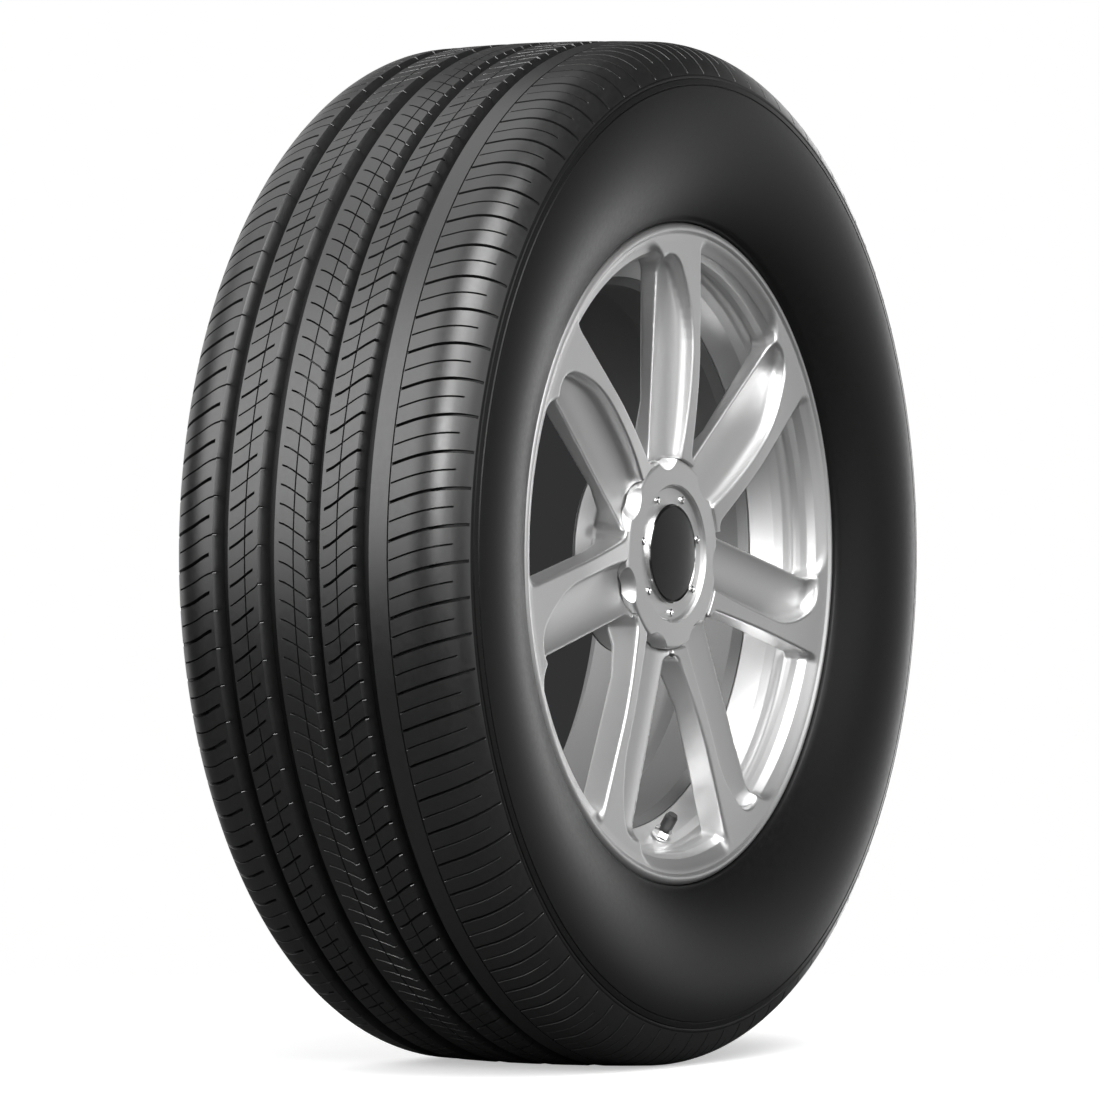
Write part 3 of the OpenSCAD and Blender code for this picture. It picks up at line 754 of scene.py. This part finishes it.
def face_mesh():
    """Vertices and quads of the face, for one pitch and then for the whole ring."""
    cols, dr, dz = FACE_COLS, FACE_DR, FACE_DZ
    phi = -PITCH / 2 + np.arange(cols) * PITCH / cols
    r = np.arange(FACE_R0 - 1.5 * dr, FLANGE_R + 2 * dr, dr)
    z = np.arange(FACE_Z0 - 1.5 * dz, FLANGE_Z + 2 * dz, dz)
    flat = flat_parts(phi, r, z, True)
    f = face_value(phi[:, None, None], r[None, :, None], z[None, None, :], flat)
    f = np.concatenate([f, f[:1]], axis=0)
    inside = f < 0
    nr, nz = len(r), len(z)
    corner = [inside[i:cols + i, j:nr - 1 + j, k:nz - 1 + k] for i in (0, 1) for j in (0, 1) for k in (0, 1)]
    count = sum(c.astype(int) for c in corner)
    mixed = (count > 0) & (count < 8)
    index = -np.ones(mixed.shape, dtype=int)
    index[mixed] = np.arange(mixed.sum())
    # A vertex at the mean of the crossings on each cell's edges
    total = np.zeros(mixed.shape + (3,))
    hits = np.zeros(mixed.shape)
    for axis in range(3):
        others = [a for a in range(3) if a != axis]
        for u in (0, 1):
            for v in (0, 1):
                lo = [0, 0, 0]
                lo[others[0]], lo[others[1]] = u, v
                hi = list(lo)
                hi[axis] = 1
                a = f[lo[0]:cols + lo[0], lo[1]:nr - 1 + lo[1], lo[2]:nz - 1 + lo[2]]
                b = f[hi[0]:cols + hi[0], hi[1]:nr - 1 + hi[1], hi[2]:nz - 1 + hi[2]]
                cross = (a < 0) != (b < 0)
                t = np.where(cross, a / np.where(cross, a - b, 1), 0)
                spot = [np.full(mixed.shape, float(v0)) for v0 in lo]
                spot[axis] = t
                for c in range(3):
                    total[..., c] += np.where(cross, spot[c], 0)
                hits += cross
    cell = np.argwhere(mixed)
    place = cell + total[mixed] / hits[mixed][:, None]
    verts = np.stack([-PITCH / 2 + place[:, 0] * PITCH / cols, r[0] + place[:, 1] * dr,
                      z[0] + place[:, 2] * dz], axis=1)
    # A quad round each grid edge that crosses the surface
    count_v = len(verts)
    quads, shift = [], []
    a = inside[:cols]
    for axis in range(3):
        if axis == 0:
            cross = a != inside[1:]
            ids = np.argwhere(cross[:, 1:-1, 1:-1]) + [0, 1, 1]
            ring = [(0, -1, -1), (0, 0, -1), (0, 0, 0), (0, -1, 0)]
        elif axis == 1:
            cross = a[:, :-1, :] != a[:, 1:, :]
            ids = np.argwhere(cross[:, :, 1:-1]) + [0, 0, 1]
            ring = [(-1, 0, -1), (-1, 0, 0), (0, 0, 0), (0, 0, -1)]
        else:
            cross = a[:, :, :-1] != a[:, :, 1:]
            ids = np.argwhere(cross[:, 1:-1, :]) + [0, 1, 0]
            ring = [(-1, -1, 0), (0, -1, 0), (0, 0, 0), (-1, 0, 0)]
        sign = a[tuple(ids.T)]
        q, w = [], []
        for step in ring:
            c = ids + np.array(step)
            wrap = np.where(c[:, 0] < 0, -1, 0)
            q.append(index[c[:, 0] % cols, c[:, 1], c[:, 2]])
            w.append(wrap)
        q, w = np.stack(q, axis=1), np.stack(w, axis=1)
        turn = ~sign
        q[turn] = q[turn][:, ::-1]
        w[turn] = w[turn][:, ::-1]
        quads.append(q)
        shift.append(w)
    quads, shift = np.concatenate(quads), np.concatenate(shift)
    # Draw the vertices onto the surface
    h = SLOPE_STEP
    for _ in range(DRAW_PASSES):
        v = value(verts)
        grad = []
        for c in range(3):
            d = np.zeros(3)
            d[c] = h / MEAN_R if c == 0 else h
            grad.append((value(verts + d) - value(verts - d)) / (2 * h))
        rr = verts[:, 1]
        g = np.stack([grad[0] * MEAN_R / rr, grad[1], grad[2]], axis=1)
        norm = np.maximum((g * g).sum(axis=1), 0.25)
        move = np.clip(-(v / norm)[:, None] * g, -0.8, 0.8)
        verts = verts + np.stack([move[:, 0] / rr, move[:, 1], move[:, 2]], axis=1)
    ring_v, ring_q = [], []
    for k in range(SPOKES):
        ring_v.append(verts + [k * PITCH, 0, 0])
        ring_q.append(quads + (shift + k) % SPOKES * count_v)
    polar = np.concatenate(ring_v)
    x, y = polar[:, 1] * np.sin(polar[:, 0]), polar[:, 1] * np.cos(polar[:, 0])
    return np.stack([x, y, polar[:, 2]], axis=1), np.concatenate(ring_q)


NORMAL_STEP = 0.25


def face_normals(p):
    """Outward directions of the face's surface at places in the wheel's axes."""
    def at(q):
        return value(np.stack([np.arctan2(q[:, 0], q[:, 1]), np.hypot(q[:, 0], q[:, 1]), q[:, 2]], axis=1))

    h = NORMAL_STEP
    grad = []
    for c in range(3):
        d = np.zeros(3)
        d[c] = h
        grad.append(at(p + d) - at(p - d))
    g = np.stack(grad, axis=1)
    return g / np.maximum(np.linalg.norm(g, axis=1), 1e-9)[:, None]


def ring_piece(name, profile, cols):
    """A part of the casting: a closed section turned round the axis."""
    faces = ring_faces(len(profile), cols)
    # In the darker silver that paints the shade inside the rim
    obj = make_mesh(name, lathe_points(profile, cols), faces, SHADED_SILVER, 30.0)
    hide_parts("alloy_wheel")
    return obj


def crossing(pts, level):
    """Radius at which a line of points passes a height."""
    for (r0, z0), (r1, z1) in zip(pts, pts[1:]):
        if (z0 - level) * (z1 - level) <= 0 and z0 != z1:
            return r0 + (r1 - r0) * (level - z0) / (z1 - z0)
    raise ValueError("no crossing")


def baked(obj):
    """Puts a piece's modifiers into its mesh."""
    view = bpy.context.evaluated_depsgraph_get()
    mesh = bpy.data.meshes.new_from_object(obj.evaluated_get(view))
    obj.modifiers.clear()
    obj.data = mesh
    return mesh


FACE_TRIANGLES = 190000
BARREL_COLS = 240
CORE_COLS = 160
HOLE_COLS = 40


def build_face():
    """The spokes, windows and scoops, and the rim's outboard end, with normals from the shape itself."""
    verts, quads = face_mesh()
    obj = make_mesh("wheel_face", verts, quads, SILVER, 180.0)
    thin = obj.modifiers.new("thin", "DECIMATE")
    thin.ratio = FACE_TRIANGLES / (2 * len(quads))
    mesh = baked(obj)
    flat = np.empty(len(mesh.vertices) * 3)
    mesh.vertices.foreach_get("co", flat)
    p = flat.reshape(-1, 3) / MM
    local = np.stack([p[:, 0], p[:, 2], -p[:, 1]], axis=1)
    normals = face_normals(local)
    turned = np.stack([normals[:, 0], -normals[:, 2], normals[:, 1]], axis=1)
    mesh.shade_smooth()
    mesh.normals_split_custom_set_from_vertices(turned.tolist())
    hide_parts("alloy_wheel")


def build_barrel():
    """What of the rim lies inboard of the face's mesh."""
    outer = outer_barrel()
    inner = inner_barrel()
    start = [i for i, (r, z) in enumerate(outer) if z < FACE_Z0][0]
    end = [i for i, (r, z) in enumerate(inner) if z < FACE_Z0][-1]
    first = (crossing(outer[start - 1:start + 1], FACE_Z0), FACE_Z0)
    last = (crossing(inner[end:end + 2], FACE_Z0), FACE_Z0)
    ring_piece("wheel_barrel", [first] + outer[start:] + inner[:end + 1] + [last], BARREL_COLS)


def bolt_cutter(number):
    """A round tool with the shape of a bolt's hole and its pocket."""
    a = number * TAU / BOLTS
    section = [(0.01, MOUNT_Z - 2), (BOLT_D / 2, MOUNT_Z - 2), (BOLT_D / 2, SEAT_Z - 22),
               (BOLT_SEAT_D / 2, SEAT_Z - 14), (BOLT_SEAT_D / 2, SEAT_Z + 2), (0.01, SEAT_Z + 2)]
    pts = lathe_points(section, HOLE_COLS) + [BOLT_PCD / 2 * math.sin(a), BOLT_PCD / 2 * math.cos(a), 0]
    mesh = bpy.data.meshes.new("bolt_hole")
    mesh.from_pydata(world(pts).tolist(), [], ring_faces(len(section), HOLE_COLS).tolist())
    cutter = bpy.data.objects.new("bolt_hole", mesh)
    bpy.context.scene.collection.objects.link(cutter)
    return cutter


def build_core():
    """The hub's inside with its bore and bolt holes."""
    core = [(BORE_R, MOUNT_Z), (HUB_R, MOUNT_Z), (HUB_R, FACE_Z0), (FACE_R0, FACE_Z0), (FACE_R0, SEAT_Z),
            (CAP_BORE_R, SEAT_Z), (CAP_BORE_R, MOUNT_Z + BORE_L), (BORE_R, MOUNT_Z + BORE_L)]
    hub = ring_piece("wheel_core", core, CORE_COLS)
    cutters = [bolt_cutter(number) for number in range(BOLTS)]
    for cutter in cutters:
        cut_away = hub.modifiers.new("hole", "BOOLEAN")
        cut_away.object = cutter
        cut_away.operation = "DIFFERENCE"
    mesh = baked(hub)
    mesh.shade_smooth()
    mesh.set_sharp_from_angle(angle=math.radians(30))
    for cutter in cutters:
        bpy.data.objects.remove(cutter)


# Stage, light and camera

DISC_SIDES = 96


def disc_object(name, radius, place, axis, material):
    """A flat round stage piece. With axis 1 it stands square to Y, and with axis 2 it lies flat."""
    angles = [k * TAU / DISC_SIDES for k in range(DISC_SIDES)]
    ring = [(radius * math.cos(a), radius * math.sin(a)) for a in angles]
    pts = [(x, y, 0.0) if axis == 2 else (x, 0.0, y) for x, y in ring]
    mesh = bpy.data.meshes.new(name)
    mesh.from_pydata(pts, [], [list(range(DISC_SIDES))])
    mesh.materials.append(material)
    obj = bpy.data.objects.new(name, mesh)
    obj.location = place
    bpy.context.scene.collection.objects.link(obj)
    return obj


# The floor: its radius in metres, where it starts and ends to fade, its colour and glow for the camera, and
# its colour for all other rays
FLOOR_R = 1.3
FLOOR_FADE = (0.25, 0.95)
FLOOR_TONE = 0.8
FLOOR_GLOW = 0.45
FLOOR_BOUNCE = 0.06
# The card of painted shade just behind the inboard flange, in metres, and its dark glow, which stands for
# the shade seen through the windows
CARD_R = 0.234
CARD_Y = 0.0985
CARD_SHADE_TONE = (0.032, 0.032, 0.033, 1)


def build_stage():
    """The floor, and a card of painted shade that stands for the shade seen behind the wheel."""
    # A pale floor that fades into the white background
    mat, tree, shader = new_material("floor_white")
    shader.inputs["Roughness"].default_value = 0.8
    shader.inputs["Specular IOR Level"].default_value = 0.1
    shader.inputs["Emission Color"].default_value = (1, 1, 1, 1)
    path = tree.nodes.new("ShaderNodeLightPath")
    tone = ramp(tree, path.outputs["Is Camera Ray"], [(0.0, FLOOR_BOUNCE), (1.0, FLOOR_TONE)])
    tree.links.new(tone, shader.inputs["Base Color"])
    glow = node(tree, "ShaderNodeMath", operation="MULTIPLY")
    tree.links.new(path.outputs["Is Camera Ray"], glow.inputs[0])
    glow.inputs[1].default_value = FLOOR_GLOW
    tree.links.new(glow.outputs[0], shader.inputs["Emission Strength"])
    coord = tree.nodes.new("ShaderNodeTexCoord")
    length = node(tree, "ShaderNodeVectorMath", operation="LENGTH")
    tree.links.new(coord.outputs["Object"], length.inputs[0])
    fade = node(tree, "ShaderNodeMapRange", interpolation_type="SMOOTHSTEP")
    fade.inputs["From Min"].default_value = FLOOR_FADE[0] * FLOOR_R
    fade.inputs["From Max"].default_value = FLOOR_FADE[1] * FLOOR_R
    tree.links.new(length.outputs["Value"], fade.inputs["Value"])
    mix_with_clear(tree, fade.outputs["Result"], shader)
    disc_object("floor", FLOOR_R, (0, 0, -(CROWN_R - FLAT_H) * MM), 2, mat)

    # A card of painted shade behind the wheel, a dark glow for the shade seen through the windows, which
    # only the camera sees, and only from the front
    mat, tree, shader = new_material("card_painted_shade")
    shader.inputs["Base Color"].default_value = (0.0, 0.0, 0.0, 1)
    shader.inputs["Specular IOR Level"].default_value = 0.0
    shader.inputs["Emission Color"].default_value = CARD_SHADE_TONE
    shader.inputs["Emission Strength"].default_value = 1.0
    geometry = tree.nodes.new("ShaderNodeNewGeometry")
    mix_with_clear(tree, geometry.outputs["Backfacing"], shader)
    card = disc_object("card", CARD_R, (0, CARD_Y, 0), 1, mat)
    card.visible_diffuse = False
    card.visible_glossy = False
    card.visible_transmission = False
    card.visible_shadow = False


def mix_with_clear(tree, fac, shader):
    """The material's surface, see-through where fac is 1."""
    clear = tree.nodes.new("ShaderNodeBsdfTransparent")
    mix = tree.nodes.new("ShaderNodeMixShader")
    tree.links.new(fac, mix.inputs["Fac"])
    tree.links.new(shader.outputs["BSDF"], mix.inputs[1])
    tree.links.new(clear.outputs["BSDF"], mix.inputs[2])
    tree.links.new(mix.outputs["Shader"], tree.nodes["Material Output"].inputs["Surface"])


# Soft lamps on the studio's walls: azimuth and elevation as seen from the wheel, the half angles of the
# full and the fading part, and the strength
SKY_LIGHTS = (
    (-54, 20, 4, 18, 11.0),
    (-40, 54, 4, 24, 8.0),
    (-16, 28, 4, 20, 3.0),
    (-30, 0, 3, 14, 1.6),
    (14, 8, 2, 22, 1.3),
    (61, -4, 8, 30, 0.45),
    (97, -3, 5, 24, 3.8),
    (-122, 24, 8, 36, 3.2),
    (180, 62, 10, 40, 1.2),
    (150, 12, 5, 32, 0.9),
)
SKY_BASE = 0.02


def direction(azimuth, elevation):
    """Unit vector out from the wheel. Azimuth 0 is outboard and 90 is +X, in degrees."""
    a, e = math.radians(azimuth), math.radians(elevation)
    return math.sin(a) * math.cos(e), -math.cos(a) * math.cos(e), math.sin(e)


def added(tree, a, b):
    """The sum of two outputs, or of an output and a number."""
    n = node(tree, "ShaderNodeMath", operation="ADD")
    tree.links.new(a, n.inputs[0])
    if isinstance(b, float):
        n.inputs[1].default_value = b
    else:
        tree.links.new(b, n.inputs[1])
    return n.outputs[0]


def build_lights():
    """The studio: white to the camera, and dark with soft lamps to all other rays."""
    world_data = bpy.data.worlds.new("studio")
    bpy.context.scene.world = world_data
    world_data.use_nodes = True
    tree = world_data.node_tree
    coord = tree.nodes.new("ShaderNodeTexCoord")
    total = None
    for azimuth, elevation, inner, outer, strength in SKY_LIGHTS:
        dot = node(tree, "ShaderNodeVectorMath", operation="DOT_PRODUCT")
        tree.links.new(coord.outputs["Generated"], dot.inputs[0])
        dot.inputs[1].default_value = direction(azimuth, elevation)
        spread = node(tree, "ShaderNodeMapRange", interpolation_type="SMOOTHSTEP")
        spread.inputs["From Min"].default_value = math.cos(math.radians(outer))
        spread.inputs["From Max"].default_value = math.cos(math.radians(inner))
        spread.inputs["To Min"].default_value = 0.0
        spread.inputs["To Max"].default_value = strength
        tree.links.new(dot.outputs["Value"], spread.inputs["Value"])
        lamp = spread.outputs["Result"]
        total = lamp if total is None else added(tree, total, lamp)
    back = tree.nodes["Background"]
    back.inputs["Color"].default_value = (1, 1, 1, 1)
    tree.links.new(added(tree, total, SKY_BASE), back.inputs["Strength"])
    white = node(tree, "ShaderNodeBackground", Color=(1, 1, 1, 1), Strength=1.0)
    path = tree.nodes.new("ShaderNodeLightPath")
    mix = tree.nodes.new("ShaderNodeMixShader")
    tree.links.new(path.outputs["Is Camera Ray"], mix.inputs["Fac"])
    tree.links.new(back.outputs["Background"], mix.inputs[1])
    tree.links.new(white.outputs["Background"], mix.inputs[2])
    tree.links.new(mix.outputs["Shader"], tree.nodes["World Output"].inputs["Surface"])


# The camera, fitted to the photo's ellipses: degrees, metres and millimetres of lens
CAM_AZIMUTH = -61.06
CAM_ELEVATION = -0.275
CAM_ROLL = 0.252
CAM_DISTANCE = 5.2277
CAM_TARGET = (-0.0226, 0.0, 0.0023)
CAM_SENSOR = 36.0
CAM_LENS = CAM_SENSOR * 7316.5 / 1100.0


def build_camera():
    """The photo's viewpoint."""
    back = Vector(direction(CAM_AZIMUTH, CAM_ELEVATION))
    data = bpy.data.cameras.new("camera")
    data.lens = CAM_LENS
    data.sensor_width = CAM_SENSOR
    data.clip_end = 100.0
    cam = bpy.data.objects.new("camera", data)
    cam.location = Vector(CAM_TARGET) + back * CAM_DISTANCE
    roll = Matrix.Rotation(math.radians(CAM_ROLL), 4, "Z")
    turn = (-back).to_track_quat("-Z", "Y").to_matrix().to_4x4() @ roll
    cam.rotation_mode = "QUATERNION"
    cam.rotation_quaternion = turn.to_quaternion()
    bpy.context.scene.collection.objects.link(cam)
    bpy.context.scene.camera = cam


# The frame's own pieces and their materials
DRESS = (
    (SILVER, ("hub_cover",)),
    (BRIGHT, ("disc_bezel", "valve_washer", "valve_nut") + tuple("cover_screw_%d" % k for k in range(1, 8))),
    (BLACK_GLOSS, ("centre_disc",)),
    (BLACK_MATTE, ("cover_carrier", "valve_stem", "valve_grommet", "valve_cap", "valve_cap_seal")),
    (BRASS, ("valve_core", "valve_core_pin")),
    (STEEL, ("carrier_spring",)),
)


build_camera()
build_stage()
build_lights()
build_carcass()
build_tread()
build_face()
build_barrel()
build_core()

for material, names in DRESS:
    for name in names:
        NODES[name].data.materials.clear()
        NODES[name].data.materials.append(material)

bpy.context.scene.view_settings.view_transform = "Standard"
